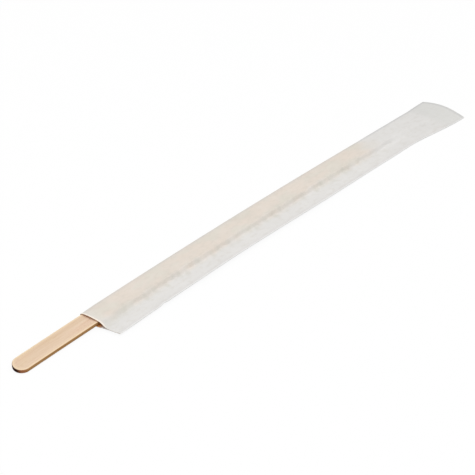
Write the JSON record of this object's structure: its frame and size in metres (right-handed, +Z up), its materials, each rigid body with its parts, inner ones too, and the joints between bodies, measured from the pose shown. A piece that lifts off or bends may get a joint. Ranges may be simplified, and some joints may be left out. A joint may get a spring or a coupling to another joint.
{
  "type": "wrapped drink stirrer",
  "caption": "Flat wooden stirring stick with round ends, part way out of a thin white paper sleeve that is open at one end and pressed shut at the other.",
  "frame": {"origin": "on the table, under the middle of the whole object's length and width", "axes": "+X along the length, from the stirrer's free tip to the sleeve's pressed end; +Y across, towards the fold that the stirrer lies against; +Z up"},
  "size_m": [0.172, 0.0148, 0.0023],
  "materials": {
    "birch_wood": "smooth, unvarnished birch veneer",
    "sleeve_paper": "thin bleached paper, matt and slightly translucent"
  },
  "bodies": {
    "root": {"stirrer": "birch_wood", "wrapper": "sleeve_paper"}
  },
  "joints": []
}
